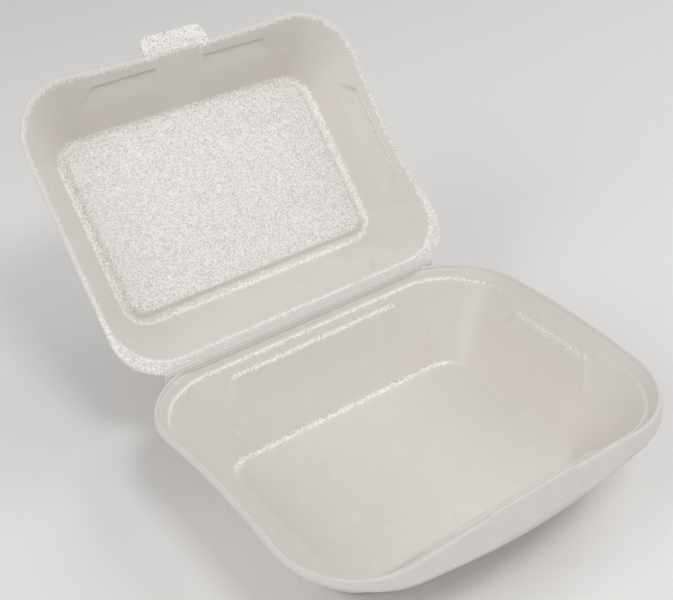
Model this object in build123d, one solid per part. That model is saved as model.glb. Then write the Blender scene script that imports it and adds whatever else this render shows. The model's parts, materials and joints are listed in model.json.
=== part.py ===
"""Foam clamshell container: a base tray and a hinged lid tray of thermoformed foam sheet."""

import math
import os
from dataclasses import dataclass, fields, replace

from build123d import *

# Base sheet and floor
base_sheet = 3.6
base_floor_half_length = 61.1
base_floor_half_width = 41.0
base_floor_corner = 11.0
base_floor_turn = 2.6
base_foot_turn = 2.0
base_foot_corner = 19.0
base_foot_spread = 1.8

# Base wall, shoulder and lip
base_shoulder_half_length = 84.5
base_shoulder_half_width = 65.5
base_shoulder_height = 31.3
base_shoulder_corner = 31.0
base_shoulder_arch = 4.2
base_shoulder_bow = 1.4
base_step_width = 1.0
base_step_rise = 0.3
base_lip_run = 4.8
base_lip_rise = 4.8
base_lip_back_run = 4.2
base_lip_corner = 35.0
base_lip_arch = 5.9
base_front_arch_share = 0.75
base_front_fullness = 6
base_edge_out = 1.0
base_edge_drop = 2.4
base_shoulder_out = 2.6
base_shoulder_drop = 2.5
base_edge_thickness = 1.6
base_edge_taper = 0.4
base_neck_out = 4.4
base_neck_rise = 0.4
base_apron_reach = 5.0
base_apron_dip = 6.4

# Lid sheet and floor
lid_sheet = 1.6
lid_floor_half_length = 65.7
lid_floor_half_width = 43.0
lid_floor_depth = 28.0
lid_floor_corner = 12.0
lid_floor_turn = 2.2
lid_top_turn = 1.8
lid_top_spread = 1.1
lid_panel_margin = 6.0
lid_panel_slope = 2.0
lid_panel_rise = 1.6
lid_panel_corner = 6.0

# Lid rim, measured from the hinge axis
lid_rim_half_length = 83.5
lid_rim_near = 4.45
lid_rim_far = 131.0
lid_rim_near_corner = 24.0
lid_rim_far_corner = 28.0
lid_rim_arch = 4.8
lid_rim_bow = 1.4
lid_edge_width = 2.0
lid_edge_near_corner = 21.0
lid_edge_thickness = 1.6
lid_neck_out = 1.3

# Hinge
hinge_behind_shoulder = 2.9
hinge_above_shoulder = 5.2
hinge_half_length = 70.5
hinge_gap = 0.15
hinge_web = 1.3
lid_open_angle = 134.5

# Closing tab on the lid's front edge
tab_root_half_width = 16.6
tab_tip_half_width = 14.8
tab_length = 9.0
tab_thickness = 1.7
tab_lift = 1.2
tab_overlap = 2.2
tab_corner = 1.5

# Panels pressed into the walls
panel_ledge_drop = 5.4
panel_depth = 1.3
panel_foot_depth = 0.05
panel_anchor = 1.0
panel_foot_share = 0.5
base_long_panel_half_length = 43.0
base_side_panel_half_length = 21.5
lid_front_panel_half_length = 43.0
lid_side_panel_half_length = 22.0
panel_foot_flare = 7.4
panel_pocket_gap = 1.6

# Finger pocket at the front of the lid, catch at the front of the base
pocket_half_width = 10.8
pocket_depth = 1.5
pocket_reach = 24.0
catch_half_width = 21.0
catch_rise = 1.4
catch_reach = 6.0
catch_root_run = 1.0

# Construction
side_points = 9
corner_points = 7
turn_steps = 2
overrun = 20.0
flatness = 0.0075

axis_y = base_shoulder_half_width + hinge_behind_shoulder
axis_z = base_sheet + base_shoulder_height + hinge_above_shoulder


def curve(points, flat):
    """Edge through points: a line, a plain arc in a flat ring, or a smooth curve."""
    first = Vector(points[0])
    last = Vector(points[-1])
    middle = Vector(points[len(points) // 2])
    along = (last - first).normalized()
    stray = max((Vector(p) - first).cross(along).length for p in points)
    if stray < flatness:
        return Edge.make_line(first, last)
    if flat:
        return Edge.make_three_point_arc(first, middle, last)
    return Edge.make_spline([Vector(p) for p in points])


@dataclass
class Ring:
    """Closed line round a tray.

    Its sides rise by arch and bow inward. Its front rises by a share of the arch, and
    may reach forward and dip.
    """

    half_x: float
    front: float
    back: float
    height: float
    front_corner: float
    back_corner: float
    arch: float = 0
    bow: float = 0
    front_share: float = 1
    reach: float = 0
    dip: float = 0

    def place(self, x, y):
        """Point of the ring, lifted and drawn in by its place along the side."""
        along = (2 * y - self.front - self.back) / (self.back - self.front)
        across = x / self.half_x
        side = 1 - along**2
        ahead = 1 - across**2
        broad = 1 - across**base_front_fullness
        if along > 0:
            side = side**2
            ahead = 0
            broad = 0
        if self.front_share == 1:
            broad = ahead
        tongue = ahead * math.sqrt(ahead)
        lift = self.arch * (side + broad * self.front_share) - self.dip * tongue
        inward = self.bow * side * across
        forward = self.reach * tongue - self.bow * ahead
        return (x - inward, y - forward, self.height + lift)

    def side(self, start, end):
        """Points along a straight side."""
        steps = [i / (side_points - 1) for i in range(side_points)]
        return [
            self.place(start[0] + (end[0] - start[0]) * s, start[1] + (end[1] - start[1]) * s)
            for s in steps
        ]

    def corner(self, centre_x, centre_y, radius, start):
        """Quarter turn of points round a corner."""
        turns = [math.radians(start + 90 * i / (corner_points - 1)) for i in range(corner_points)]
        return [
            self.place(centre_x + radius * math.cos(t), centre_y + radius * math.sin(t))
            for t in turns
        ]

    def wire(self):
        """The ring as four sides and four corners."""
        front_x = self.half_x - self.front_corner
        front_y = self.front + self.front_corner
        back_x = self.half_x - self.back_corner
        back_y = self.back - self.back_corner
        runs = [
            self.side((-front_x, self.front), (front_x, self.front)),
            self.corner(front_x, front_y, self.front_corner, -90),
            self.side((self.half_x, front_y), (self.half_x, back_y)),
            self.corner(back_x, back_y, self.back_corner, 0),
            self.side((back_x, self.back), (-back_x, self.back)),
            self.corner(-back_x, back_y, self.back_corner, 90),
            self.side((-self.half_x, back_y), (-self.half_x, front_y)),
            self.corner(-front_x, front_y, self.front_corner, 180),
        ]
        flat = self.arch == 0 and self.bow == 0
        return Wire([curve(run, flat) for run in runs])

    def inset(self, margin):
        """Ring a margin inside this one."""
        return replace(
            self,
            half_x=self.half_x - margin,
            front=self.front + margin,
            back=self.back - margin,
            front_corner=self.front_corner - margin,
            back_corner=self.back_corner - margin,
        )

    def mixed(self, other, share):
        """Ring a share of the way from this one to another."""
        return Ring(
            *[
                getattr(self, f.name) * (1 - share) + getattr(other, f.name) * share
                for f in fields(self)
            ]
        )


def soft_turn(edge, wall, reach):
    """Rings of the soft turn between a flat floor and a wall that rises from its edge."""
    length = math.hypot(wall.half_x - edge.half_x, wall.height - edge.height)
    start = edge.inset(reach)
    end = edge.mixed(wall, reach / length)
    shares = [i / turn_steps for i in range(turn_steps + 1)]
    return [start.mixed(edge, s).mixed(edge.mixed(end, s), s) for s in shares]


def skin(rings):
    """Solid with flat ends on the first and last ring and ruled bands between rings."""
    wires = [ring.wire() for ring in rings]
    faces = [Face(wires[0]), Face(wires[-1])]
    for low, high in zip(wires, wires[1:]):
        faces += Shell.make_loft([low, high], ruled=True).faces()
    return Solid(Shell(Face.sew_faces(faces)[0]))


def flat_ring(half_x, half_y, height, corner, shift=0, front_share=1):
    """Flat ring about the tray's middle."""
    return Ring(
        half_x, shift - half_y, shift + half_y, height, corner, corner, front_share=front_share
    )


def wedge(top, foot, inward, along, top_ends, foot_ends):
    """Panel standing out from a wall: full depth at its top ledge, fading to its foot."""
    ledges = []
    for spot, ends, depth in ((top, top_ends, panel_depth), (foot, foot_ends, panel_foot_depth)):
        low = spot + along * ends[0]
        high = spot + along * ends[1]
        root = inward * -panel_anchor
        face = inward * depth
        ledges.append(Wire.make_polygon([low + root, high + root, high + face, low + face]))
    return Solid.make_loft(ledges, ruled=True)


def block(profile, half_length):
    """Bar along X with the given outline of (y, z) points."""
    outline = Wire.make_polygon([(-half_length, y, z) for y, z in profile])
    return Solid.extrude(Face(outline), Vector(2 * half_length, 0, 0))


def mirrored(point):
    """Point on the other side of the middle plane."""
    return Vector(-point.X, point.Y, point.Z)


def wall_directions(foot, rim):
    """Directions up, along and inward on a wall that runs from its foot to its rim."""
    rise = rim - foot
    up = rise.normalized()
    along = Vector(0, 1, 0) if abs(rise.X) > abs(rise.Y) else Vector(1, 0, 0)
    inward = up.cross(along).normalized()
    if inward.X * foot.X + inward.Y * rise.Y > 0:
        inward = inward * -1
    return up, along, inward


def raised_panel(foot, rim, ends):
    """Panel of the base's wall, standing in toward the food."""
    up, along, inward = wall_directions(foot, rim)
    top = rim - up * panel_ledge_drop
    low = foot + (rim - foot) * panel_foot_share
    foot_ends = (ends[0] - panel_foot_flare, ends[1] + panel_foot_flare)
    return wedge(top, low, inward, along, ends, foot_ends)


def pressed_panel(foot, rim, ends, flares=(panel_foot_flare, panel_foot_flare)):
    """Panel of the lid's wall, pressed outward: a bump outside and a hollow inside."""
    up, along, inward = wall_directions(foot, rim)
    outward = inward * -1
    top = rim - up * panel_ledge_drop
    low = foot + (rim - foot) * panel_foot_share
    foot_ends = (ends[0] - flares[0], ends[1] + flares[1])
    hollow = wedge(top, low, outward, along, ends, foot_ends)
    bump = wedge(
        top + (outward + up) * lid_sheet,
        low + outward * lid_sheet,
        outward,
        along,
        (ends[0] - lid_sheet, ends[1] + lid_sheet),
        (foot_ends[0] - lid_sheet, foot_ends[1] + lid_sheet),
    )
    return bump, hollow


def bar(points, half_length):
    """Bar along X with an outline through points of the YZ plane."""
    return block([(p.Y, p.Z) for p in points], half_length)


def frustum(half_x, half_y, height, shift):
    """Raised panel of the lid's floor, from a height toward the open side."""
    low = flat_ring(half_x, half_y, height, lid_panel_corner, shift)
    high = flat_ring(
        half_x - lid_panel_slope,
        half_y - lid_panel_slope,
        height - lid_panel_rise,
        lid_panel_corner,
        shift,
    )
    return Solid.make_loft([low.wire(), high.wire()], ruled=True)


def joined(body, additions):
    """One solid from a body and what is moulded with it."""
    for addition in additions:
        body = body + addition
    return body


def cleared(body, hollows):
    """The body without what is pressed out of it."""
    for hollow in hollows:
        body = body - hollow
    return body


def build_base():
    """Deep tray with an arched lip, its wall panels, front catch and hinge half."""
    shoulder = base_sheet + base_shoulder_height
    step_half_x = base_shoulder_half_length + base_step_width
    step_half_y = base_shoulder_half_width + base_step_width
    lip_half_x = base_shoulder_half_length + base_lip_run
    lip_front = -base_shoulder_half_width - base_lip_run
    lip_back = base_shoulder_half_width + base_lip_back_run
    lip_height = shoulder + base_lip_rise
    edge_half_x = lip_half_x + base_edge_out
    edge_front = lip_front - base_edge_out
    edge_back = lip_back + base_edge_out
    edge_height = lip_height - base_edge_drop
    outer_half_x = base_shoulder_half_length + base_shoulder_out
    outer_half_y = base_shoulder_half_width + base_shoulder_out
    floor = flat_ring(
        base_floor_half_length,
        base_floor_half_width,
        base_sheet,
        base_floor_corner,
        front_share=base_front_arch_share,
    )
    inner_shoulder = Ring(
        base_shoulder_half_length,
        -base_shoulder_half_width,
        base_shoulder_half_width,
        shoulder,
        base_shoulder_corner,
        base_shoulder_corner,
        base_shoulder_arch,
        base_shoulder_bow,
        base_front_arch_share,
    )
    step = Ring(
        step_half_x,
        -step_half_y,
        step_half_y,
        shoulder + base_step_rise,
        base_shoulder_corner + base_step_width,
        base_shoulder_corner + base_step_width,
        base_shoulder_arch,
        base_shoulder_bow,
        base_front_arch_share,
    )
    lip = Ring(
        lip_half_x,
        lip_front,
        lip_back,
        lip_height,
        base_lip_corner,
        base_lip_corner,
        base_lip_arch,
        base_shoulder_bow,
        base_front_arch_share,
    )
    edge = Ring(
        edge_half_x,
        edge_front,
        edge_back,
        edge_height,
        base_lip_corner + base_edge_out,
        base_lip_corner + base_edge_out,
        base_lip_arch,
        base_shoulder_bow,
        base_front_arch_share,
        base_apron_reach + base_shoulder_bow,
        base_apron_dip,
    )
    underside = replace(
        edge,
        half_x=edge_half_x - base_edge_taper,
        front=edge_front + base_edge_taper,
        back=edge_back - base_edge_taper,
        height=edge_height - base_edge_thickness,
    )
    neck = replace(
        lip,
        half_x=base_shoulder_half_length + base_neck_out,
        front=-base_shoulder_half_width - base_neck_out,
        back=base_shoulder_half_width + base_neck_out,
        height=shoulder + base_neck_rise,
    )
    outer_shoulder = replace(
        inner_shoulder,
        half_x=outer_half_x,
        front=-outer_half_y,
        back=outer_half_y,
        height=shoulder - base_shoulder_drop,
        front_corner=base_shoulder_corner + base_shoulder_out,
        back_corner=base_shoulder_corner + base_shoulder_out,
    )
    foot = flat_ring(
        base_floor_half_length + base_foot_spread,
        base_floor_half_width + base_foot_spread,
        0,
        base_foot_corner,
        front_share=base_front_arch_share,
    )
    inside = soft_turn(floor, inner_shoulder, base_floor_turn)
    outside = soft_turn(foot, outer_shoulder, base_foot_turn)
    rim = [inner_shoulder, step, lip, edge, underside, neck, outer_shoulder]
    body = skin(inside + rim + outside[::-1])
    back_foot = Vector(0, base_floor_half_width, base_sheet)
    back_top = Vector(0, base_shoulder_half_width, shoulder)
    side_foot = Vector(base_floor_half_length, 0, base_sheet)
    side_top = Vector(
        base_shoulder_half_length - base_shoulder_bow, 0, shoulder + base_shoulder_arch
    )
    front_foot = Vector(0, -base_floor_half_width, base_sheet)
    front_top = Vector(
        0, base_shoulder_bow - base_shoulder_half_width, shoulder + base_shoulder_arch
    )
    long_ends = (-base_long_panel_half_length, base_long_panel_half_length)
    side_ends = (-base_side_panel_half_length, base_side_panel_half_length)
    panels = [
        raised_panel(back_foot, back_top, long_ends),
        raised_panel(front_foot, front_top, long_ends),
        raised_panel(side_foot, side_top, side_ends),
        raised_panel(mirrored(side_foot), mirrored(side_top), side_ends),
    ]
    behind = axis_y - hinge_gap
    body = body - block(
        [
            (behind, -overrun),
            (behind + overrun, -overrun),
            (behind + overrun, axis_z + overrun),
            (behind, axis_z + overrun),
        ],
        base_shoulder_half_length + overrun,
    )
    hinge = block(
        [
            (step_half_y, shoulder),
            (behind - hinge_web, axis_z - 2 * hinge_gap),
            (behind, axis_z - 2 * hinge_gap),
            (behind, shoulder),
        ],
        hinge_half_length,
    )
    crest = Vector(
        0,
        lip_front + base_shoulder_bow,
        lip_height + base_lip_arch * base_front_arch_share,
    )
    brink = Vector(
        0,
        edge_front - base_apron_reach,
        edge_height + base_lip_arch * base_front_arch_share - base_apron_dip,
    )
    fall = (brink - crest).normalized()
    rise = Vector(0, 0, catch_rise)
    end = crest + fall * catch_reach
    root = Vector(0, 0, -base_sheet)
    heel = crest + fall * catch_root_run + root
    catch = bar([crest + root, crest + rise, end + rise, brink, heel], catch_half_width)
    return joined(body, panels + [hinge, catch])


def build_lid():
    """Shallow tray in its closed pose, with its hinge axis on the X axis."""
    centre = -(lid_rim_near + lid_rim_far) / 2
    edge_half_x = lid_rim_half_length + lid_edge_width
    edge_front = -lid_rim_far - lid_edge_width
    edge_corner = lid_rim_far_corner + lid_edge_width
    top = lid_floor_depth + lid_sheet
    floor_edge = flat_ring(
        lid_floor_half_length, lid_floor_half_width, lid_floor_depth, lid_floor_corner, centre
    )
    inner_rim = Ring(
        lid_rim_half_length,
        -lid_rim_far,
        -lid_rim_near,
        0,
        lid_rim_far_corner,
        lid_rim_near_corner,
        lid_rim_arch,
        lid_rim_bow,
    )
    edge = replace(
        inner_rim,
        half_x=edge_half_x,
        front=edge_front,
        back=-hinge_gap,
        front_corner=edge_corner,
        back_corner=lid_edge_near_corner,
    )
    edge_top = replace(edge, height=lid_edge_thickness)
    neck = replace(
        inner_rim,
        half_x=lid_rim_half_length + lid_neck_out,
        front=-lid_rim_far - lid_neck_out,
        back=lid_neck_out - lid_rim_near,
        height=lid_sheet,
        front_corner=lid_rim_far_corner + lid_neck_out,
        back_corner=lid_rim_near_corner + lid_neck_out,
    )
    top_edge = flat_ring(
        lid_floor_half_length + lid_top_spread,
        lid_floor_half_width + lid_top_spread,
        top,
        lid_floor_corner + lid_top_spread,
        centre,
    )
    inside = soft_turn(floor_edge, inner_rim, lid_floor_turn)
    outside = soft_turn(top_edge, neck, lid_top_turn)
    body = skin(inside + [inner_rim, edge, edge_top, neck] + outside[::-1])

    panel_half_x = lid_floor_half_length - lid_panel_margin
    panel_half_y = lid_floor_half_width - lid_panel_margin
    body = body + frustum(panel_half_x, panel_half_y, lid_floor_depth, centre)
    body = body - frustum(panel_half_x, panel_half_y, top, centre)

    rim = Vector(0, lid_rim_bow - lid_rim_far, lid_rim_arch)
    floor = Vector(0, centre - lid_floor_half_width, lid_floor_depth)
    down = (floor - rim).normalized()
    out = Vector(0, -down.Z, down.Y)
    foot = rim + down * pocket_reach
    above = rim - down * pocket_reach
    outside = out * lid_sheet
    deep = out * pocket_depth
    bump = bar([rim, foot, foot + outside, rim + outside + deep], pocket_half_width + lid_sheet)
    hollow = bar([above - outside, foot - outside, foot, above + deep * 2], pocket_half_width)

    tab_low = lid_rim_arch + tab_lift
    tab_face = Face(
        Wire.make_polygon(
            [
                (-tab_root_half_width, edge_front + tab_overlap, tab_low),
                (tab_root_half_width, edge_front + tab_overlap, tab_low),
                (tab_tip_half_width, edge_front - tab_length + lid_rim_bow, tab_low),
                (-tab_tip_half_width, edge_front - tab_length + lid_rim_bow, tab_low),
            ]
        )
    )
    tab = Solid.extrude(tab_face, Vector(0, 0, tab_thickness))
    tips = [e for e in tab.edges().filter_by(Axis.Z) if e.center().Y < edge_front]
    tab = tab.fillet(tab_corner, tips)

    side_rim = Vector(lid_rim_half_length - lid_rim_bow, centre, lid_rim_arch)
    side_floor = Vector(lid_floor_half_length, centre, lid_floor_depth)
    near_rim = Vector(0, -lid_rim_near, 0)
    near_floor = Vector(0, centre + lid_floor_half_width, lid_floor_depth)
    long_ends = (-lid_front_panel_half_length, lid_front_panel_half_length)
    side_ends = (-lid_side_panel_half_length, lid_side_panel_half_length)
    near_end = pocket_half_width + panel_pocket_gap
    far_end = lid_front_panel_half_length
    panels = [
        pressed_panel(side_floor, side_rim, side_ends),
        pressed_panel(mirrored(side_floor), mirrored(side_rim), side_ends),
        pressed_panel(near_floor, near_rim, long_ends),
        pressed_panel(floor, rim, (near_end, far_end), (0, panel_foot_flare)),
        pressed_panel(floor, rim, (-far_end, -near_end), (panel_foot_flare, 0)),
    ]
    bumps = [panel[0] for panel in panels]
    hollows = [panel[1] for panel in panels]
    return cleared(joined(body, bumps + [bump, tab]), hollows + [hollow])


os.makedirs("parts", exist_ok=True)
base = build_base()
lid = Pos(0, axis_y, axis_z) * (Rot(-lid_open_angle, 0, 0) * build_lid())
export_step(base, "parts/base.step")
export_step(lid, "parts/lid.step")
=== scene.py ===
"""Foam clamshell container: two soft foam trays joined by a creased living hinge."""

import json
import logging
import math
from dataclasses import dataclass, field, replace
from enum import Enum, IntEnum
from typing import Any

import bmesh
import bpy
import numpy as np
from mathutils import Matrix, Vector

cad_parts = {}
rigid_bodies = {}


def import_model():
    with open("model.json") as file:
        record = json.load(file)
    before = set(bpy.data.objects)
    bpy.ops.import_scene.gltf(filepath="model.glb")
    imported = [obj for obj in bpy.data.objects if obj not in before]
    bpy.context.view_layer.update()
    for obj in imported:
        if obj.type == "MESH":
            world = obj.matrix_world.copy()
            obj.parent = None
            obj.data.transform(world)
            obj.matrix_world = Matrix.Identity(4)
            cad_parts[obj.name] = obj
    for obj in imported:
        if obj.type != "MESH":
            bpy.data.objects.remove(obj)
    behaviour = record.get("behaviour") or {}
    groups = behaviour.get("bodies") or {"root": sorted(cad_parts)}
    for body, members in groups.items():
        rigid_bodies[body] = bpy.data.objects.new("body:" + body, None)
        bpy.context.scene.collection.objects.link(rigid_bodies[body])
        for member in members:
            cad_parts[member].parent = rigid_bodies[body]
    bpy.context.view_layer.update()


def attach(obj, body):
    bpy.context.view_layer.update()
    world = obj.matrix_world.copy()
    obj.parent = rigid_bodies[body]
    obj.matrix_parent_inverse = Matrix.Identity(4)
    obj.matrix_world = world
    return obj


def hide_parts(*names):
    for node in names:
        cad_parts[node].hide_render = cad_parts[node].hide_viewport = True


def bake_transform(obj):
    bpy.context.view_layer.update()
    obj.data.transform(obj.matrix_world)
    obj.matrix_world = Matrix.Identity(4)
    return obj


LOG = logging.getLogger("clamshell")
MM = 0.001
# Mesh attribute that weights the glitter and the painted highlight and shade cells.
GLINT = "cell_glint"
CALM_GLINT = 0.04
SHARP_ANGLE = 50.0
FINE_TURNS = 6
LONG_COLUMNS = 110
SHORT_COLUMNS = 76
CORNER_COLUMNS = 26
DETAIL_CLEARANCE = 0.3
DETAIL_REACH = 0.5
TINY = 1e-9
Array = np.ndarray
Socket = bpy.types.NodeSocket
Pair = tuple[float, float]
Point = tuple[float, float, float]


class Piece(Enum):
    """Nodes of the part that the shown pieces ride on."""

    BASE = "base"
    LID = "lid"


class BaseLine(IntEnum):
    """Creases of the base's skin, by their order."""

    FLOOR = 1
    SHOULDER = 2
    STEP = 3
    LIP = 4
    EDGE = 5


class LidLine(IntEnum):
    """Creases of the lid's skin, by their order."""

    TOP = 3
    NECK = 4
    UPPER_EDGE = 5
    EDGE = 6
    RIM = 7
    FLOOR = 8


def linear(colour: str) -> tuple[float, float, float, float]:
    """Turns an sRGB hex colour into a linear one.

    Args:
        colour: The colour as "#RRGGBB".

    Returns:
        Linear red, green and blue, and an alpha of one.
    """
    parts = [int(colour[i : i + 2], 16) / 255 for i in (1, 3, 5)]
    red, green, blue = (p / 12.92 if p <= 0.04045 else ((p + 0.055) / 1.055) ** 2.4 for p in parts)
    return red, green, blue, 1.0


def add_node(
    tree: bpy.types.NodeTree, kind: str, inputs: dict[str | int, Any] | None = None, **settings: Any
) -> bpy.types.Node:
    """Adds one shader node.

    Args:
        tree: The node tree that takes the node.
        kind: The node's type name.
        inputs: Constants for its input sockets, or output sockets that feed them.
        settings: Properties of the node itself.

    Returns:
        The new node.
    """
    node = tree.nodes.new(kind)
    for name, value in settings.items():
        setattr(node, name, value)
    for socket, value in (inputs or {}).items():
        if isinstance(value, Socket):
            tree.links.new(value, node.inputs[socket])
        else:
            node.inputs[socket].default_value = value
    return node


def ranged(tree: bpy.types.NodeTree, value: Socket, low: float, high: float) -> Socket:
    """Spreads a value between 0 and 1 over another range."""
    inputs = {"Value": value, "To Min": low, "To Max": high}
    return add_node(tree, "ShaderNodeMapRange", inputs).outputs["Result"]


def soft_step(distance: Array, width: float) -> Array:
    """Rises smoothly from 0 to 1 across a width centred on distance zero."""
    share = np.clip(distance / width + 0.5, 0, 1)
    return share * share * (3 - 2 * share)


@dataclass(frozen=True)
class Columns:
    """Places of the mesh columns round a tray, as shares of each straight side and corner."""

    front: Array
    side: Array
    back: Array
    corner: Array

    @classmethod
    def spaced(cls, details: Array) -> "Columns":
        """Evenly spaced columns, with more on the front side where its details begin and end.

        Args:
            details: Further shares of the front side.

        Returns:
            The columns, without the end of each run, where the next one starts.
        """
        counts = (LONG_COLUMNS, SHORT_COLUMNS, CORNER_COLUMNS)
        long, short, corner = (np.linspace(0, 1, count, endpoint=False) for count in counts)
        gap = DETAIL_CLEARANCE / LONG_COLUMNS
        clear = [s for s in long if s == 0 or np.min(np.abs(details - s), initial=1) > gap]
        return cls(np.unique(np.concatenate([clear, details])), short, long, corner)


@dataclass(frozen=True)
class Ring:
    """Closed line round a tray, in millimetres.

    Its sides rise by arch and bow inward. Its front rises by a share of the arch, and may
    reach forward and dip.
    """

    half_x: float
    front: float
    back: float
    height: float
    front_corner: float
    back_corner: float
    arch: float = 0.0
    bow: float = 0.0
    front_share: float = 1.0
    reach: float = 0.0
    dip: float = 0.0
    front_fullness: int = 6
    tongue_power: float = 1.5

    def points(self, columns: Columns) -> Array:
        """Points of the line, one for each column.

        Args:
            columns: The mesh columns.

        Returns:
            An array of points in millimetres.
        """
        front_x = self.half_x - self.front_corner
        front_y = self.front + self.front_corner
        back_x = self.half_x - self.back_corner
        back_y = self.back - self.back_corner

        def straight(start: Pair, end: Pair, shares: Array) -> Array:
            """Points along a straight side."""
            return np.array(start) + np.outer(shares, np.subtract(end, start))

        def quarter(x: float, y: float, radius: float, start: float) -> Array:
            """Points round a quarter turn about a corner's centre."""
            turn = math.radians(start) + columns.corner * math.pi / 2
            return np.stack([x + radius * np.cos(turn), y + radius * np.sin(turn)], axis=1)

        runs = [
            straight((-front_x, self.front), (front_x, self.front), columns.front),
            quarter(front_x, front_y, self.front_corner, -90),
            straight((self.half_x, front_y), (self.half_x, back_y), columns.side),
            quarter(back_x, back_y, self.back_corner, 0),
            straight((back_x, self.back), (-back_x, self.back), columns.back),
            quarter(-back_x, back_y, self.back_corner, 90),
            straight((-self.half_x, back_y), (-self.half_x, front_y), columns.side),
            quarter(-front_x, front_y, self.front_corner, 180),
        ]
        return self.lifted(*np.concatenate(runs).T)

    def lifted(self, x: Array, y: Array) -> Array:
        """Lifts and draws in the flat line by each point's place along its side.

        Args:
            x: Places along the hinge.
            y: Places from front to back.

        Returns:
            An array of points in millimetres.
        """
        along = (y - (self.front + self.back) / 2) / ((self.back - self.front) / 2)
        across = x / self.half_x
        behind = along > 0
        side = np.clip(1 - along**2, 0, 1)
        side = np.where(behind, side**2, side)
        ahead = np.where(behind, 0, np.clip(1 - across**2, 0, 1))
        broad = np.where(behind, 0, 1 - across**self.front_fullness)
        if self.front_share == 1:
            broad = ahead
        tongue = ahead**self.tongue_power
        lift = self.arch * (side + broad * self.front_share) - self.dip * tongue
        inward = x - self.bow * side * across
        forward = y + self.bow * ahead - self.reach * tongue
        return np.stack([inward, forward, self.height + lift], axis=1)


@dataclass(frozen=True)
class Crease:
    """Ring of a tray's skin, how softly the sheet turns there, and the rows up to the next."""

    ring: Ring
    softness: float = 0.0
    rows: tuple[float, ...] = ()
    turns: int = 4
    front_softness: float | None = None

    def reach(self, line: Array) -> Array:
        """Distance over which the sheet turns, at each point of the ring.

        Args:
            line: Points of the ring.

        Returns:
            The distances in millimetres.
        """
        front = self.softness if self.front_softness is None else self.front_softness
        middle = (self.ring.front + self.ring.back) / 2
        ahead = np.clip((middle - line[:, 1]) / (middle - self.ring.front), 0, 1) ** 3
        return self.softness + (front - self.softness) * ahead


def even_rows(count: int) -> tuple[float, ...]:
    """Shares of a band at which count rows divide it evenly."""
    return tuple((i + 1) / (count + 1) for i in range(count))


def tube_faces(rows: int, count: int) -> list[list[int]]:
    """Faces of a closed tube.

    Args:
        rows: Rings of points along the tube.
        count: Points round each ring.

    Returns:
        The points of each face, with the two end faces last.
    """
    index = np.arange(rows * count).reshape(rows, count)
    onward = np.roll(index, -1, axis=1)
    quads = np.stack([index[:-1], index[1:], onward[1:], onward[:-1]], axis=-1).reshape(-1, 4)
    return quads.tolist() + [index[0].tolist(), index[-1][::-1].tolist()]


@dataclass
class Skin:
    """Grid of points over a tray, with rows across its creases and columns round it."""

    creases: list[Crease]
    columns: Columns
    turn_share: float = 0.45
    points: Array = field(init=False)
    places: Array = field(init=False)
    glint: Array = field(init=False)

    def __post_init__(self) -> None:
        """Lays the rows: soft turns at the creases, straight bands between them."""
        lines = [c.ring.points(self.columns) for c in self.creases]
        last = len(lines) - 1
        rows: list[Array] = []
        places: list[float] = []
        leaving = lines[0]
        left = 0.0
        for k, crease in enumerate(self.creases):
            here = arriving = departing = lines[k]
            arrived = departed = float(k)
            if 0 < k < last and crease.softness > 0:
                reach = crease.reach(here)
                arriving, before = self._toward(here, lines[k - 1], reach)
                departing, after = self._toward(here, lines[k + 1], reach)
                arrived, departed = k - before, k + after
            if k > 0:
                for share in self.creases[k - 1].rows:
                    rows.append(leaving + (arriving - leaving) * share)
                    places.append(left + (arrived - left) * share)
            turns = crease.turns if departed > arrived else 0
            for i in range(turns + 1):
                t = i / turns if turns else 0.0
                rows.append((1 - t) ** 2 * arriving + 2 * t * (1 - t) * here + t**2 * departing)
                places.append(k + (arrived - k) * (1 - t) ** 2 + (departed - k) * t**2)
            leaving, left = departing, departed
        self.points = np.stack(rows)
        self.places = np.array(places)
        self.glint = np.zeros(self.points.shape[:2])

    def _toward(self, here: Array, there: Array, distance: Array) -> tuple[Array, float]:
        """Points a distance from one ring toward the next, and the mean share of the way."""
        span = np.linalg.norm(there - here, axis=1)
        share = np.minimum(distance / np.maximum(span, TINY), self.turn_share)
        return here + (there - here) * share[:, None], float(share.mean())

    def normals(self) -> Array:
        """Unit normals of the grid, pointing out of the foam."""
        across = np.gradient(self.points, axis=0)
        around = np.roll(self.points, -1, axis=1) - np.roll(self.points, 1, axis=1)
        normal = np.cross(across, around)
        return normal / np.maximum(np.linalg.norm(normal, axis=2, keepdims=True), TINY)

    def between(self, first: float, last: float) -> Array:
        """One for each row whose place lies between two creases, zero for the others."""
        inside = (self.places > first) & (self.places < last)
        return inside.astype(float)[:, None]

    def glitter(self, bands: tuple[tuple[float, float, float, Any], ...]) -> Array:
        """Sum of bands of glitter with soft ends.

        Args:
            bands: First and last place, softness and strength of each band.

        Returns:
            The glitter at each point, over that of the calm foam.
        """
        total = np.full(self.points.shape[:2], CALM_GLINT)
        for first, last, soft, strength in bands:
            rows = soft_step(self.places - first, soft) * soft_step(last - self.places, soft)
            total += strength * rows[:, None]
        return total

    def share(self, first: float, last: float) -> Array:
        """Share of the way of each row from one place to another, from 0 to 1."""
        return np.clip((self.places - first) / (last - first), 0, 1)[:, None]

    def push(self, heights: Array) -> None:
        """Moves the grid out of the foam by heights in millimetres."""
        self.points = self.points + self.normals() * heights[:, :, None]

    def mesh(self, name: str) -> bpy.types.Mesh:
        """Makes the closed mesh.

        Args:
            name: Name of the mesh.

        Returns:
            The mesh, in metres.
        """
        faces = tube_faces(*self.points.shape[:2])
        mesh = bpy.data.meshes.new(name)
        mesh.from_pydata((self.points.reshape(-1, 3) * MM).tolist(), [], faces)
        mesh.attributes.new(GLINT, "FLOAT", "POINT").data.foreach_set("value", self.glint.ravel())
        mesh.validate()
        return mesh


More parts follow.
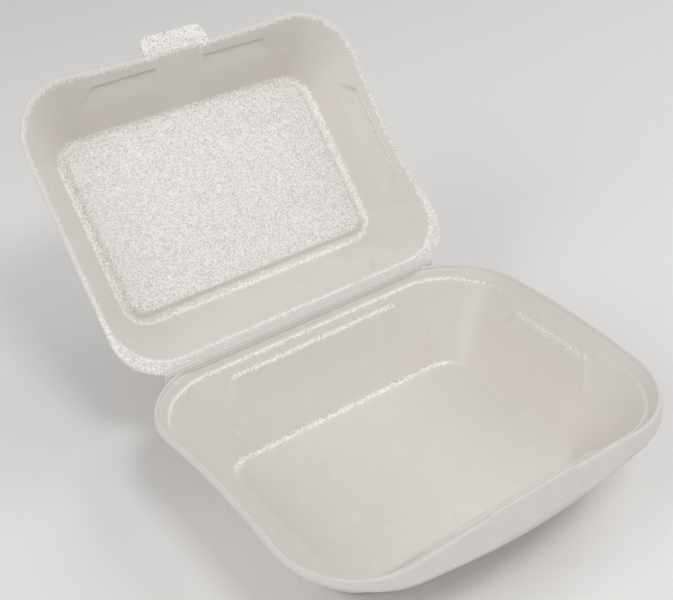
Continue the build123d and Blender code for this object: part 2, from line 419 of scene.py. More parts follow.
@dataclass(frozen=True)
class WallPanel:
    """Panel pressed into a wall: a ledge at its top that fades toward its foot, in millimetres."""

    foot: Point
    rim: Point
    ends: Pair
    flares: Pair = (7.4, 7.4)
    ledge_drop: float = 5.4
    depth: float = 1.3
    foot_depth: float = 0.05
    foot_share: float = 0.5
    softness: float = 1.0
    wall_reach: float = 7.0

    def widened(self, by: float) -> "WallPanel":
        """The same panel on the other face of the sheet, wider by the sheet's thickness."""
        ends = (self.ends[0] - by, self.ends[1] + by)
        return replace(self, ends=ends, ledge_drop=self.ledge_drop - by)

    def _local(self, points: Array) -> tuple[Array, Array, Array]:
        """Places of points on the wall.

        Args:
            points: Points of the tray.

        Returns:
            Share of the way from the panel's foot to its ledge, distance under the ledge, and
            weight between the panel's ends.
        """
        foot = np.array(self.foot)
        rise = np.array(self.rim) - foot
        length = np.linalg.norm(rise)
        up = rise / length
        along = np.array([0.0, 1.0, 0.0] if abs(rise[0]) > abs(rise[1]) else [1.0, 0.0, 0.0])
        offset = points - foot
        place = offset @ along
        ledge = 1 - self.ledge_drop / length
        climb = ledge - self.foot_share
        share = (offset @ up / length - self.foot_share) / climb
        spread = np.clip(1 - share, 0, 1)
        start = soft_step(place - self.ends[0] + self.flares[0] * spread, self.softness)
        stop = soft_step(self.ends[1] + self.flares[1] * spread - place, self.softness)
        near = np.abs(offset @ np.cross(up, along)) < self.wall_reach
        return share, (1 - share) * climb * length, start * stop * near

    def heights(self, points: Array) -> Array:
        """Height of the panel over the wall.

        Args:
            points: Points of the tray.

        Returns:
            The height at each point.
        """
        share, under, weight = self._local(points)
        depth = self.foot_depth + (self.depth - self.foot_depth) * np.clip(share, 0, 1)
        return depth * weight * soft_step(under, self.softness) * (share > 0)

    def ledge_line(self, points: Array) -> Array:
        """Weight of the line along the panel's ledge, from 0 to 1, at each point of the tray."""
        _, under, weight = self._local(points)
        return weight * np.exp(-((under / self.softness) ** 2))


def mirrored(point: Point) -> Point:
    """Point on the other side of the middle plane."""
    return -point[0], point[1], point[2]


def new_object(name: str, mesh: bpy.types.Mesh, material: bpy.types.Material) -> bpy.types.Object:
    """Adds a smooth-shaded piece to the scene.

    Args:
        name: Name of the piece.
        mesh: Its mesh, in the row frame.
        material: Its finish.

    Returns:
        The new object.
    """
    mesh.materials.append(material)
    mesh.shade_smooth()
    mesh.set_sharp_from_angle(angle=math.radians(SHARP_ANGLE))
    piece = bpy.data.objects.new(name, mesh)
    bpy.context.scene.collection.objects.link(piece)
    return piece


@dataclass(frozen=True)
class FoamSheet:
    """Expanded polystyrene sheet, thermoformed between two moulds.

    The eye sees a warm off-white with a satin skin of flattened cells. Each cell lies at its
    own slight tilt, so faces near the mirror angle glitter and the others stay plain. Where the
    glint weight is high, the colour also holds painted highlight flecks and painted shade cells.
    """

    name: str = "expanded_polystyrene_sheet"
    tint: str = "#E8E3DE"
    shade: str = "#E1DBD6"
    fleck_and_glint: str = "#FFFBF6"
    shaded_cell: str = "#D4CEC8"
    cell_mm: float = 0.5
    rare: float = 0.9985
    cloud_mm: float = 9.0
    grain_mm: float = 2.2
    calm_tilt: float = 0.05
    glint_tilt: float = 0.55
    roughness_low: float = 0.35
    roughness_high: float = 0.6
    skin_weight: float = 0.9
    skin_roughness: float = 0.15
    relief: float = 0.4
    depth_mm: float = 0.1
    noise_detail: float = 3.0
    noise_roughness: float = 0.55
    shaded_cell_sway: float = -2.0
    shaded_cell_range: Pair = (0.25, 0.55)
    glint_sway: float = 1.0
    glint_range: Pair = (1.05, 1.3)
    refraction: float = 1.5
    glow: float = 0.12
    glow_mm: float = 2.0
    glow_reach: Point = (1.0, 0.9, 0.8)

    def material(self) -> bpy.types.Material:
        """Builds the foam's node material."""
        material = bpy.data.materials.new(self.name)
        material.use_nodes = True
        tree = material.node_tree
        tree.nodes.clear()
        place = add_node(tree, "ShaderNodeTexCoord").outputs["Object"]
        glint = add_node(tree, "ShaderNodeAttribute", attribute_name=GLINT).outputs["Fac"]
        spots = {"Vector": place, "Scale": 1 / (self.cell_mm * MM)}
        cells = add_node(tree, "ShaderNodeTexVoronoi", spots, feature="F1")
        cell = cells.outputs["Color"]
        grain = self._noise(tree, place, self.grain_mm)
        bumps = {"Height": grain, "Strength": self.relief, "Distance": self.depth_mm * MM}
        relief = add_node(tree, "ShaderNodeBump", bumps)
        weights = {0: glint, 1: self.skin_weight}
        skin = add_node(tree, "ShaderNodeMath", weights, operation="MULTIPLY")
        gloss = ranged(tree, cells.outputs["Distance"], self.roughness_low, self.roughness_high)
        inputs = {
            "Base Color": self._colour(tree, place, cell, glint),
            "Roughness": gloss,
            "Normal": relief.outputs["Normal"],
            "IOR": self.refraction,
            "Subsurface Weight": self.glow,
            "Subsurface Radius": self.glow_reach,
            "Subsurface Scale": self.glow_mm * MM,
            "Coat Weight": skin.outputs["Value"],
            "Coat Roughness": self.skin_roughness,
            "Coat Normal": self._facets(tree, cell, glint),
        }
        foam = add_node(tree, "ShaderNodeBsdfPrincipled", inputs)
        add_node(tree, "ShaderNodeOutputMaterial", {"Surface": foam.outputs["BSDF"]})
        return material

    def _noise(self, tree: bpy.types.NodeTree, place: Socket, size_mm: float) -> Socket:
        """Soft noise with blotches of a real size."""
        inputs = {
            "Vector": place,
            "Scale": 1 / (size_mm * MM),
            "Detail": self.noise_detail,
            "Roughness": self.noise_roughness,
        }
        return add_node(tree, "ShaderNodeTexNoise", inputs).outputs["Fac"]

    def _facets(self, tree: bpy.types.NodeTree, cell: Socket, glint: Socket) -> Socket:
        """Normals of the flattened cells, each at its own slight tilt.

        Args:
            tree: The material's nodes.
            cell: Random colour of each cell.
            glint: How strongly the cells glitter.

        Returns:
            The tilted normals.
        """

        def vector(operation: str, inputs: dict[str | int, Any]) -> Socket:
            """One step of the vector sum."""
            node = add_node(tree, "ShaderNodeVectorMath", inputs, operation=operation)
            return node.outputs["Vector"]

        middle = (0.5, 0.5, 0.5)
        surface = add_node(tree, "ShaderNodeNewGeometry").outputs["Normal"]
        tilt = ranged(tree, glint, self.calm_tilt, self.glint_tilt)
        spread = vector("SUBTRACT", {0: cell, 1: middle})
        lean = vector("SCALE", {0: spread, "Scale": tilt})
        return vector("NORMALIZE", {0: vector("ADD", {0: lean, 1: surface})})

    def _colour(
        self, tree: bpy.types.NodeTree, place: Socket, cell: Socket, glint: Socket
    ) -> Socket:
        """Off-white with faint clouds, and painted highlight and shade cells where it glitters.

        Args:
            tree: The material's nodes.
            place: Object coordinates.
            cell: Random colour of each cell.
            glint: How strongly the cells glitter.

        Returns:
            The colour.
        """

        def mixed(under: Any, over: str, amount: Socket) -> Socket:
            """Lays an sRGB hex colour over another colour."""
            inputs = {"A": under, "B": linear(over), "Factor": amount}
            return add_node(tree, "ShaderNodeMix", inputs, data_type="RGBA").outputs["Result"]

        chance = add_node(tree, "ShaderNodeSeparateColor", {"Color": cell}).outputs["Red"]
        colour = mixed(linear(self.shade), self.tint, self._noise(tree, place, self.cloud_mm))
        # Painted shade cells, then painted highlight flecks, where the glint weight is high.
        for shade, sway, (start, full) in (
            (self.shaded_cell, self.shaded_cell_sway, self.shaded_cell_range),
            (self.fleck_and_glint, self.glint_sway, self.glint_range),
        ):
            sums = {0: chance, 1: sway, 2: glint}
            chosen = add_node(tree, "ShaderNodeMath", sums, operation="MULTIPLY_ADD")
            span = {"Value": chosen.outputs["Value"], "From Min": start, "From Max": full}
            amount = add_node(tree, "ShaderNodeMapRange", span)
            colour = mixed(colour, shade, amount.outputs["Result"])
        # Rare white flecks at random over all the foam.
        limits = {0: chance, 1: self.rare}
        seldom = add_node(tree, "ShaderNodeMath", limits, operation="GREATER_THAN")
        return mixed(colour, self.fleck_and_glint, seldom.outputs["Value"])


@dataclass
class Hinge:
    """Place of the crease that the lid turns on, and the creased web across it, in millimetres."""

    axis_y: float = 68.4
    axis_z: float = 40.1
    gap: float = 0.15
    open_angle: float = 134.5
    half_length: float = 70.5
    base_reach: float = 3.4
    lid_reach: float = 3.2
    base_lean: float = 14.0
    web: float = 0.9
    proud: float = 0.12
    rib: float = 0.1
    rib_pitch: float = 1.5
    steps: int = 34
    slices: int = 72

    def place(self, points: Array) -> Array:
        """Turns points of the closed lid about the crease to the open pose.

        Args:
            points: Points with the crease on the X axis.

        Returns:
            The points in the row frame.
        """
        turn = math.radians(-self.open_angle)
        x, y, z = np.moveaxis(points, -1, 0)
        turned_y = y * math.cos(turn) - z * math.sin(turn) + self.axis_y
        turned_z = y * math.sin(turn) + z * math.cos(turn) + self.axis_z
        return np.stack([x, turned_y, turned_z], axis=-1)

    def section(self) -> list[Pair]:
        """Outline of the web across the crease, as (y, z) points."""
        lean = math.radians(self.base_lean)
        tip = math.radians(self.open_angle)
        base_way = np.array([math.sin(lean), math.cos(lean)])
        lid_way = np.array([-math.cos(tip), math.sin(tip)])
        crease = np.array([self.axis_y, self.axis_z])
        face: list[Pair] = []
        rear: list[Pair] = []
        for distance in np.linspace(-self.base_reach, self.lid_reach, self.steps):
            share = float(soft_step(np.array(distance), self.rib_pitch))
            way = base_way * (1 - share) + lid_way * share
            way = way / np.linalg.norm(way)
            spot = crease + (base_way if distance < 0 else lid_way) * distance
            toward = np.array([-way[1], way[0]])
            ends = min(distance + self.base_reach, self.lid_reach - distance)
            fade = float(soft_step(np.array(ends - self.rib_pitch / 2), self.rib_pitch))
            wave = math.cos(2 * math.pi * distance / self.rib_pitch) * self.rib * fade
            height = self.proud * fade - self.web / 2 * (1 - fade) - wave
            face.append(tuple(spot + toward * height))
            rear.append(tuple(spot - toward * self.web))
        return face + rear[::-1]

    def build(self, material: bpy.types.Material) -> bpy.types.Object:
        """Makes the web and blends it between the two trays.

        Args:
            material: The foam.

        Returns:
            The web.
        """
        outline = self.section()[::-1]
        xs = np.linspace(-self.half_length, self.half_length, self.slices)
        points = [(x * MM, y * MM, z * MM) for x in xs for y, z in outline]
        mesh = bpy.data.meshes.new("living_hinge")
        mesh.from_pydata(points, [], tube_faces(self.slices, len(outline)))
        mesh.validate()
        web = new_object("living_hinge", mesh, material)
        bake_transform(web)
        return web


@dataclass
class BaseTray:
    """Deep tray with an arched lip, wall panels and a front catch, in millimetres."""

    hinge: Hinge
    sheet: float = 3.6
    floor_half_length: float = 61.1
    floor_half_width: float = 41.0
    floor_corner: float = 11.0
    floor_softness: float = 2.6
    foot_corner: float = 19.0
    foot_spread: float = 1.8
    foot_softness: float = 2.0
    shoulder_half_length: float = 84.5
    shoulder_half_width: float = 65.5
    shoulder_height: float = 31.3
    shoulder_corner: float = 31.0
    shoulder_arch: float = 4.2
    shoulder_softness: float = 1.0
    shoulder_front_softness: float = 3.0
    bow: float = 1.4
    step_width: float = 1.0
    step_rise: float = 0.3
    step_softness: float = 0.4
    lip_run: float = 4.8
    lip_rise: float = 4.8
    lip_back_run: float = 4.2
    lip_corner: float = 35.0
    lip_arch: float = 5.9
    lip_softness: float = 0.7
    lip_front_softness: float = 2.2
    front_share: float = 0.75
    edge_out: float = 1.0
    edge_drop: float = 2.4
    edge_thickness: float = 1.6
    edge_taper: float = 0.4
    edge_softness: float = 0.5
    outer_out: float = 2.6
    outer_drop: float = 2.5
    outer_softness: float = 2.0
    neck_out: float = 4.4
    neck_rise: float = 0.4
    neck_softness: float = 1.2
    apron_reach: float = 5.0
    apron_dip: float = 6.4
    long_panel: float = 43.0
    side_panel: float = 21.5
    side_panel_softness: float = 2.0
    catch_half_width: float = 21.0
    catch_rise: float = 1.4
    catch_reach: float = 6.0
    catch_softness: float = 3.0
    catch_ramp: float = 0.15
    lip_lines: tuple[Point, ...] = ((0.62, 0.07, -0.3), (0.84, 0.09, 0.12))
    lines_start: float = 0.6
    lines_fade: float = 30.0
    inset: float = 6.0
    ledge_glints: tuple[float, ...] = (0.85, 0.0, 0.3, 0.0)
    back_share: float = 0.92
    back_fade: float = 5.0
    rear_start: float = 40.0
    rear_fade: float = 30.0

    def shoulder(self) -> float:
        """Height of the shoulder at the tray's corners."""
        return self.sheet + self.shoulder_height

    def floor_ring(self, spread: float, height: float, corner: float) -> Ring:
        """Flat ring about the tray's middle."""
        half_y = self.floor_half_width + spread
        return Ring(self.floor_half_length + spread, -half_y, half_y, height, corner, corner)

    def creases(self) -> list[Crease]:
        """Rings of the skin, from the inner floor over the lip to the foot."""
        high = self.shoulder()
        length, width = self.shoulder_half_length, self.shoulder_half_width
        step, run, out = self.step_width, self.lip_run, self.edge_out
        lip_back = width + self.lip_back_run
        lip_height = high + self.lip_rise
        edge_height = lip_height - self.edge_drop
        edge_corner = self.lip_corner + out
        reach = self.apron_reach + self.bow
        edge, edge_back = run + out, lip_back + out
        taper, under_height = self.edge_taper, edge_height - self.edge_thickness
        neck = self.neck_out
        inset, spread, low = self.inset, self.foot_spread, self.sheet
        ring, dip = self.floor_ring, self.apron_dip

        def shoulder_ring(out_by: float, height: float) -> Ring:
            """Ring that follows the shoulder's arch."""
            corner = self.shoulder_corner + out_by
            return Ring(
                length + out_by, -width - out_by, width + out_by, height, corner, corner,
                self.shoulder_arch, self.bow, self.front_share,
            )

        def lip_ring(
            out_by: float, back: float, height: float, corner: float, apron: float, dip: float
        ) -> Ring:
            """Ring that follows the lip's arch."""
            return Ring(
                length + out_by, -width - out_by, back, height, corner, corner,
                self.lip_arch, self.bow, self.front_share, apron, dip,
            )

        wall = math.hypot(width - self.floor_half_width, self.shoulder_height)
        wall_rows = wall_places(1 - WallPanel.ledge_drop / wall)
        under_lip = lip_ring(neck, width + neck, high + self.neck_rise, self.lip_corner, 0, 0)
        outside = shoulder_ring(self.outer_out, high - self.outer_drop)
        return [
            Crease(ring(-inset, low, self.floor_corner - inset), rows=even_rows(2)),
            Crease(ring(0, low, self.floor_corner), self.floor_softness, wall_rows, FINE_TURNS),
            Crease(
                shoulder_ring(0, high),
                self.shoulder_softness,
                front_softness=self.shoulder_front_softness,
            ),
            Crease(shoulder_ring(step, high + self.step_rise), self.step_softness, even_rows(16)),
            Crease(
                lip_ring(run, lip_back, lip_height, self.lip_corner, 0, 0),
                self.lip_softness,
                even_rows(10),
                FINE_TURNS,
                self.lip_front_softness,
            ),
            Crease(
                lip_ring(edge, edge_back, edge_height, edge_corner, reach, dip),
                self.edge_softness,
            ),
            Crease(
                lip_ring(edge - taper, edge_back - taper, under_height, edge_corner, reach, dip),
                self.edge_softness,
                even_rows(3),
            ),
            Crease(under_lip, self.neck_softness, even_rows(1)),
            Crease(outside, self.outer_softness, even_rows(10)),
            Crease(ring(spread, 0, self.foot_corner), self.foot_softness, even_rows(2), FINE_TURNS),
            Crease(ring(spread - inset, 0, self.foot_corner - inset)),
        ]

    def panels(self) -> list[WallPanel]:
        """Panels pressed into the four walls."""
        high = self.shoulder()
        top = high + self.shoulder_arch
        side_foot = (self.floor_half_length, 0.0, self.sheet)
        side_rim = (self.shoulder_half_length - self.bow, 0.0, top)
        long_ends = (-self.long_panel, self.long_panel)
        side_ends = (-self.side_panel, self.side_panel)
        floor, shoulder = self.floor_half_width, self.shoulder_half_width
        soft = self.side_panel_softness
        return [
            WallPanel((0, floor, self.sheet), (0, shoulder, high), long_ends),
            WallPanel((0, -floor, self.sheet), (0, self.bow - shoulder, top), long_ends),
            WallPanel(side_foot, side_rim, side_ends, softness=soft),
            WallPanel(mirrored(side_foot), mirrored(side_rim), side_ends, softness=soft),
        ]

    def form(self) -> Skin:
        """Shapes the skin with its panels, lip groove, front catch and glitter."""
        front_x = self.shoulder_half_length + self.lip_run - self.lip_corner
        ends = np.linspace(-DETAIL_REACH, DETAIL_REACH, 5)
        details = np.concatenate([ends - self.catch_half_width, ends + self.catch_half_width])
        skin = Skin(self.creases(), Columns.spaced(0.5 + details / (2 * front_x)))
        raised = sum(panel.heights(skin.points) for panel in self.panels())
        skin.push(raised * skin.between(BaseLine.FLOOR, BaseLine.SHOULDER))

        lip = skin.share(BaseLine.STEP, BaseLine.LIP)
        fade_from = self.lines_start * self.shoulder_half_width
        front_fade = soft_step(skin.points[:, :, 1] + fade_from, self.lines_fade)
        lines = sum(
            height * np.exp(-(((lip - place) / width) ** 2))
            for place, width, height in self.lip_lines
        )
        skin.push(lines * front_fade * skin.between(BaseLine.STEP, BaseLine.LIP))

        inside = self.catch_half_width - np.abs(skin.points[:, :, 0])
        width = soft_step(inside, self.catch_softness)
        front = skin.points[:, :, 1] < -self.shoulder_half_width / 2
        plateau = self.catch_reach / (self.apron_reach + self.edge_out)
        ramp = skin.share(BaseLine.LIP - self.catch_ramp, BaseLine.LIP)
        rise = np.minimum(ramp, 1 - skin.share(BaseLine.LIP + plateau, BaseLine.EDGE))
        skin.points[:, :, 2] += self.catch_rise * rise * width * front
        skin.glint = self._glint(skin)
        return skin

    def _glint(self, skin: Skin) -> Array:
        """Glitter and painted highlights: calm on the floor, strong on the floor's edge and the
        shoulder.

        Args:
            skin: The shaped skin.

        Returns:
            The glitter at each point, from 0 to 1.
        """
        y = skin.points[:, :, 1]
        behind = soft_step(y - self.floor_half_width * self.back_share, self.back_fade)
        rear = soft_step(y - self.rear_start, self.rear_fade)
        # Painted highlight bands, most at the back floor edge and the shoulder toward the hinge.
        bands = (
            (0.4, 0.97, 0.04, 0.12 * behind),
            (0.97, 1.06, 0.04, behind),
            (1.1, 1.9, 0.04, 0.06),
            (1.97, 2.3, 0.1, rear),
        )
        # Painted highlight lines along the panels' ledges.
        weighted = zip(self.ledge_glints, self.panels())
        ledges = sum(weight * panel.ledge_line(skin.points) for weight, panel in weighted)
        wall = skin.between(BaseLine.FLOOR, BaseLine.SHOULDER)
        return np.clip(skin.glitter(bands) + ledges * wall, 0, 1)

    def build(self, material: bpy.types.Material) -> bpy.types.Object:
        """Makes the tray and trims its lip at the crease.

        Args:
            material: The foam.

        Returns:
            The tray.
        """
        mesh = self.form().mesh("base_tray")
        cut = bmesh.new()
        cut.from_mesh(mesh)
        trimmed = bmesh.ops.bisect_plane(
            cut,
            geom=cut.verts[:] + cut.edges[:] + cut.faces[:],
            plane_co=(0, (self.hinge.axis_y - self.hinge.gap) * MM, 0),
            plane_no=(0, 1, 0),
            clear_outer=True,
        )
        rim = [e for e in trimmed["geom_cut"] if isinstance(e, bmesh.types.BMEdge)]
        bmesh.ops.holes_fill(cut, edges=rim, sides=0)
        cut.to_mesh(mesh)
        cut.free()
        tray = new_object("base_tray", mesh, material)
        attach(tray, Piece.BASE.value)
        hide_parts(Piece.BASE.value)
        return tray


def wall_places(ledge: float) -> tuple[float, ...]:
    """Shares of a wall at which its rows lie, close together at the panels' ledge.

    Args:
        ledge: Share of the wall at the ledge.

    Returns:
        The shares, from the foot to the rim.
    """
    margin, close, below, above = 0.03, 0.045, 0.05, 0.06
    runs = (
        (margin, ledge - below, 22),
        (ledge - close, ledge + close, 12),
        (ledge + above, 1 - margin, 3),
    )
    return tuple(float(s) for start, end, count in runs for s in np.linspace(start, end, count))


@dataclass
class LidTray:
    """Shallow tray with a thin edge, wall panels, finger pocket and tab, in millimetres."""

    hinge: Hinge
    sheet: float = 1.6
    floor_half_length: float = 65.7
    floor_half_width: float = 43.0
    floor_depth: float = 28.0
    floor_corner: float = 12.0
    floor_softness: float = 2.2
    top_softness: float = 2.0
    top_spread: float = 1.1
    panel_margin: float = 3.2
    panel_slope: float = 1.6
    panel_rise: float = 1.6
    panel_corner: float = 6.0
    panel_softness: float = 1.0
    rim_half_length: float = 83.5
    rim_near: float = 4.45
    rim_far: float = 131.0
    rim_near_corner: float = 24.0
    rim_far_corner: float = 28.0
    rim_arch: float = 4.8
    rim_softness: float = 0.9
    bow: float = 1.4
    edge_width: float = 2.0
    edge_near_corner: float = 21.0
    edge_thickness: float = 1.6
    edge_softness: float = 0.8
    upper_edge_softness: float = 0.4
    neck_out: float = 1.3
    neck_softness: float = 0.6
    front_panel: float = 43.0
    side_panel: float = 22.0
    pocket_half_width: float = 10.8
    pocket_depth: float = 1.5
    pocket_reach: float = 24.0
    pocket_gap: float = 1.6
    pocket_softness: float = 0.9
    pocket_floor_share: float = 0.2
    tab_root: float = 16.6
    tab_tip: float = 14.8
    tab_length: float = 9.0
    tab_lift: float = 1.2
    tab_corner: float = 1.5
    tab_lift_start: float = 0.18
    tab_lift_run: float = 0.2
    inset: float = 5.0
    inset_corner: float = 3.0
    corner_detail: float = 0.45
    ledge_glint: float = 0.7
    outer_glint: float = 0.25
    end_share: float = 0.8
    side_share: float = 0.85
    zone_fade: float = 8.0
    corner_share: float = 0.75
    corner_fade: float = 20.0

    def centre(self) -> float:
        """Middle of the lid from front to back."""
        return -(self.rim_near + self.rim_far) / 2

    def floor_ring(self, margin: float, height: float, corner: float) -> Ring:
        """Flat ring about the lid's middle."""
        half_x, half_y = self.floor_half_length - margin, self.floor_half_width - margin
        centre = self.centre()
        return Ring(half_x, centre - half_y, centre + half_y, height, corner, corner)

    def rim_ring(self, out: float, back: float, height: float, near_corner: float) -> Ring:
        """Ring that follows the rim's arch."""
        half_x, front = self.rim_half_length + out, -self.rim_far - out
        corner = self.rim_far_corner + out
        return Ring(half_x, front, back, height, corner, near_corner, self.rim_arch, self.bow)

    def creases(self) -> list[Crease]:
        """Rings of the skin in the closed pose, from the top over the edge to the inner floor."""
        top = self.floor_depth + self.sheet
        low = self.floor_depth
        margin, inner = self.panel_margin, self.panel_margin + self.panel_slope
        rise = self.panel_rise
        wall = math.hypot(self.rim_far + self.centre() - self.floor_half_width, low - self.rim_arch)
        outer_rows = wall_places(1 - WallPanel.ledge_drop / wall)
        inner_rows = tuple(1 - s for s in reversed(outer_rows))
        ring, rim, soft = self.floor_ring, self.rim_ring, self.panel_softness
        width, corner = self.edge_width, self.edge_near_corner
        gap, neck, spread = self.hinge.gap, self.neck_out, self.top_spread
        top_corner = self.floor_corner + spread
        return [
            Crease(ring(inner + self.inset, top - rise, self.inset_corner), rows=even_rows(1)),
            Crease(ring(inner, top - rise, self.panel_corner), soft, even_rows(2)),
            Crease(ring(margin, top, self.panel_corner), soft, even_rows(2)),
            Crease(ring(-spread, top, top_corner), self.top_softness, outer_rows, FINE_TURNS),
            Crease(
                rim(neck, neck - self.rim_near, self.sheet, self.rim_near_corner + neck),
                self.neck_softness,
                even_rows(6),
            ),
            Crease(rim(width, -gap, self.edge_thickness, corner), self.upper_edge_softness),
            Crease(rim(width, -gap, 0, corner), self.edge_softness, even_rows(9), FINE_TURNS),
            Crease(rim(0, -self.rim_near, 0, self.rim_near_corner), self.rim_softness, inner_rows),
            Crease(ring(0, low, self.floor_corner), self.floor_softness, even_rows(2), FINE_TURNS),
            Crease(ring(margin, low, self.panel_corner), soft, even_rows(2)),
            Crease(ring(inner, low - rise, self.panel_corner), soft, even_rows(1)),
            Crease(ring(inner + self.inset, low - rise, self.inset_corner)),
        ]

    def front_wall(self) -> tuple[Point, Point]:
        """Foot and rim of the front wall, at its middle."""
        floor_y = self.centre() - self.floor_half_width
        return (0.0, floor_y, self.floor_depth), (0.0, self.bow - self.rim_far, self.rim_arch)

    def panels(self) -> list[WallPanel]:
        """Panels pressed into the lid's walls, beside the finger pocket on the front one."""
        centre = self.centre()
        front = self.front_wall()
        side_rim = (self.rim_half_length - self.bow, centre, self.rim_arch)
        side_floor = (self.floor_half_length, centre, self.floor_depth)
        near_rim = (0.0, -self.rim_near, 0.0)
        near_floor = (0.0, centre + self.floor_half_width, self.floor_depth)
        near, far = self.pocket_half_width + self.pocket_gap, self.front_panel
        side_ends = (-self.side_panel, self.side_panel)
        return [
            WallPanel(side_floor, side_rim, side_ends),
            WallPanel(mirrored(side_floor), mirrored(side_rim), side_ends),
            WallPanel(near_floor, near_rim, (-far, far)),
            WallPanel(*front, (near, far), (0.0, WallPanel.flares[1])),
            WallPanel(*front, (-far, -near), (WallPanel.flares[0], 0.0)),
        ]

    def form(self) -> Skin:
        """Shapes the skin in the closed pose, with its panels, pocket, tab and glitter."""
        front_x = self.rim_half_length - self.rim_far_corner
        pocket, tip = self.pocket_half_width, self.tab_tip
        bends = [tip - self.tab_corner, tip - self.corner_detail, tip, self.tab_root]
        right = np.array([pocket - DETAIL_REACH, pocket, pocket + DETAIL_REACH, *bends])
        details = 0.5 + np.concatenate([-right, right]) / (2 * front_x)
        skin = Skin(self.creases(), Columns.spaced(details))
        hollows = sum(panel.heights(skin.points) for panel in self.panels())
        bumps = sum(panel.widened(self.sheet).heights(skin.points) for panel in self.panels())
        outside = skin.between(LidLine.TOP, LidLine.NECK)
        skin.push(bumps * outside - hollows * skin.between(LidLine.RIM, LidLine.FLOOR))

        self._shape_front(skin)
        skin.glint = self._glint(skin)
        return skin

    def _glint(self, skin: Skin) -> Array:
        """Glitter and painted highlights: strong on the floor, its gutter, the rim line and the
        tab.

        Args:
            skin: The shaped skin.

        Returns:
            The glitter at each point, from 0 to 1.
        """
        x = skin.points[:, :, 0]
        y = skin.points[:, :, 1] - self.centre()
        end = self.floor_half_width * self.end_share
        far = soft_step(-y - end, self.zone_fade)
        near = soft_step(y - end, self.zone_fade)
        corner = np.abs(x) - self.rim_half_length * self.corner_share
        right = soft_step(x - self.floor_half_length * self.side_share, self.zone_fade)
        hinge_corner = near * soft_step(corner, self.corner_fade)
        tab = far * (np.abs(x) < self.tab_root)
        # Painted highlight bands over the flange, rim line, floor's edge, gutter, panel slope and
        # floor.
        bands = (
            (4.0, 6.85, 0.1, 0.2 + 0.3 * hinge_corner + 0.55 * tab),
            (6.9, 7.05, 0.05, 0.55 + 0.45 * near),
            (7.96, 8.3, 0.12, 1 - 0.3 * far),
            (8.3, 9.1, 0.1, 0.65 - 0.3 * near + 0.3 * right),
            (9.1, 10.05, 0.1, 1 - 0.9 * near),
            (10.05, 12.0, 0.1, 0.62),
        )
        wall = skin.between(LidLine.RIM, LidLine.FLOOR)
        ledge = self.ledge_glint * self.panels()[0].ledge_line(skin.points) * wall
        outside = self.outer_glint * (skin.places < LidLine.NECK)[:, None]
        return np.clip(skin.glitter(bands) + ledge + outside, 0, 1)

    def _shape_front(self, skin: Skin) -> None:
        """Pushes the front out at the finger pocket, and draws its edge forward into the tab.

        Args:
            skin: The skin, which is changed.
        """
        across = np.abs(skin.points[:, :, 0])
        front = skin.points[:, :, 1] < self.centre() - self.floor_half_width / 2
        floor, rim = np.array(self.front_wall())
        down = (floor - rim) / np.linalg.norm(floor - rim)
        out = np.array([0.0, -down[2], down[1]])
        share = np.clip(1 - ((skin.points - rim) @ down) / self.pocket_reach, 0, 1)
        width = soft_step(self.pocket_half_width - across, self.pocket_softness)
        below = skin.share(LidLine.EDGE, LidLine.RIM)
        above = skin.share(LidLine.NECK, LidLine.UPPER_EDGE)
        pressed = skin.between(LidLine.TOP, LidLine.FLOOR + self.pocket_floor_share)
        sheet = np.maximum(below, 1 - above) * pressed
        push = self.pocket_depth * share * width * front * sheet
        skin.points = skin.points + push[:, :, None] * out

        slope = np.clip((self.tab_root - across) / (self.tab_root - self.tab_tip), 0, 1)
        corner = self.tab_corner
        inner = np.clip((across - (self.tab_tip - corner)) / corner, 0, 1)
        rounding = (1 - np.sqrt(np.clip(1 - inner**2, 0, 1))) * corner * (slope >= 1)
        length = (self.tab_length * slope - rounding) * front
        reach = np.minimum(above, 1 - below)
        lift = np.clip((reach - self.tab_lift_start) / self.tab_lift_run, 0, 1)
        skin.points[:, :, 1] -= length * reach
        skin.points[:, :, 2] += self.tab_lift * np.clip(length, 0, 1) * lift

    def build(self, material: bpy.types.Material) -> bpy.types.Object:
        """Makes the lid in its open pose.

        Args:
            material: The foam.

        Returns:
            The lid.
        """
        skin = self.form()
        skin.points = self.hinge.place(skin.points)
        lid = new_object("lid_tray", skin.mesh("lid_tray"), material)
        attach(lid, Piece.LID.value)
        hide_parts(Piece.LID.value)
        return lid


@dataclass(frozen=True)
class Softbox:
    """Square soft lamp that faces a target, in metres and watts."""

    name: str
    place: Point
    size: float
    watts: float
    target: Point = (0.0, 0.05, 0.05)

    def build(self) -> None:
        """Hangs the lamp."""
        lamp = bpy.data.lights.new(self.name, "AREA")
        lamp.size = self.size
        lamp.energy = self.watts
        holder = bpy.data.objects.new(self.name, lamp)
        bpy.context.scene.collection.objects.link(holder)
        holder.location = self.place
        facing = Vector(self.target) - Vector(self.place)
        holder.rotation_euler = facing.to_track_quat("-Z", "Y").to_euler()


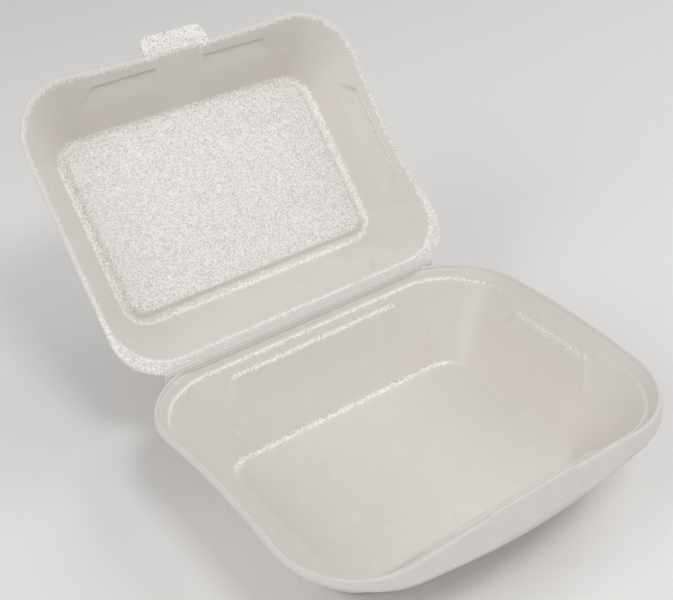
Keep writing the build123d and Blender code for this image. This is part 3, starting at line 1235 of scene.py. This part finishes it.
@dataclass
class Studio:
    """Pale floor, soft lamps, white surround and the camera, in metres."""

    floor_colour: str = "#F4F3F2"
    floor_half: float = 4.0
    floor_drop: float = 0.0002
    floor_roughness: float = 0.9
    white: str = "#FFFFFF"
    surround: float = 0.36
    lamps: tuple[Softbox, ...] = (
        Softbox("front_softbox", (0.0, -0.45, 1.0), 0.3, 2.4),
        Softbox("left_softbox", (-0.9, 0.05, 0.7), 0.6, 3.2),
        Softbox("right_softbox", (0.9, 0.05, 0.8), 0.6, 2.6),
        Softbox("small_softbox", (0.48, -0.4, 0.87), 0.12, 0.6, (0.0, 0.12, 0.09)),
    )
    camera_place: Point = (-0.23502, -0.26687, 0.34211)
    camera_azimuth: float = -36.79
    camera_elevation: float = 35.68
    lens: float = 62.859
    sensor: float = 36.0
    near_clip: float = 0.01

    def build(self) -> None:
        """Makes the floor, the lights and the camera."""
        self._floor()
        self._world()
        for lamp in self.lamps:
            lamp.build()
        self._camera()

    def _floor(self) -> None:
        """Lays the floor just under the foot."""
        half, low = self.floor_half, -self.floor_drop
        corners = [(-half, -half, low), (half, -half, low), (half, half, low), (-half, half, low)]
        mesh = bpy.data.meshes.new("floor")
        mesh.from_pydata(corners, [], [(0, 1, 2, 3)])
        floor = bpy.data.objects.new("floor", mesh)
        bpy.context.scene.collection.objects.link(floor)
        material = bpy.data.materials.new("matt_paper_sweep")
        material.use_nodes = True
        shader = material.node_tree.nodes["Principled BSDF"]
        shader.inputs["Base Color"].default_value = linear(self.floor_colour)
        shader.inputs["Roughness"].default_value = self.floor_roughness
        mesh.materials.append(material)

    def _world(self) -> None:
        """Sets an even surround that the camera sees as white."""
        world = bpy.data.worlds.new("white_surround")
        bpy.context.scene.world = world
        world.use_nodes = True
        tree = world.node_tree
        tree.nodes.clear()
        seen = add_node(tree, "ShaderNodeLightPath").outputs["Is Camera Ray"]
        shades = {"Color": linear(self.white), "Strength": ranged(tree, seen, self.surround, 1.0)}
        light = add_node(tree, "ShaderNodeBackground", shades)
        add_node(tree, "ShaderNodeOutputWorld", {"Surface": light.outputs["Background"]})

    def _camera(self) -> None:
        """Sets the camera at the photograph's viewing angle."""
        data = bpy.data.cameras.new("camera")
        data.lens = self.lens
        data.sensor_width = self.sensor
        data.clip_start = self.near_clip
        camera = bpy.data.objects.new("camera", data)
        bpy.context.scene.collection.objects.link(camera)
        camera.location = self.camera_place
        camera.rotation_euler = (
            math.radians(90 - self.camera_elevation),
            0,
            math.radians(self.camera_azimuth),
        )
        bpy.context.scene.camera = camera


def main() -> None:
    """Builds the container and its studio."""
    logging.basicConfig(level=logging.INFO, format="%(name)s: %(message)s")
    for thing in list(bpy.data.objects):
        bpy.data.objects.remove(thing)
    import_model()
    bpy.context.scene.view_settings.view_transform = "Standard"
    foam = FoamSheet().material()
    hinge = Hinge()
    for assembly in (BaseTray(hinge), LidTray(hinge), hinge):
        piece = assembly.build(foam)
        LOG.info("%s has %d faces", piece.name, len(piece.data.polygons))
    Studio().build()


if __name__ == "__main__":
    main()
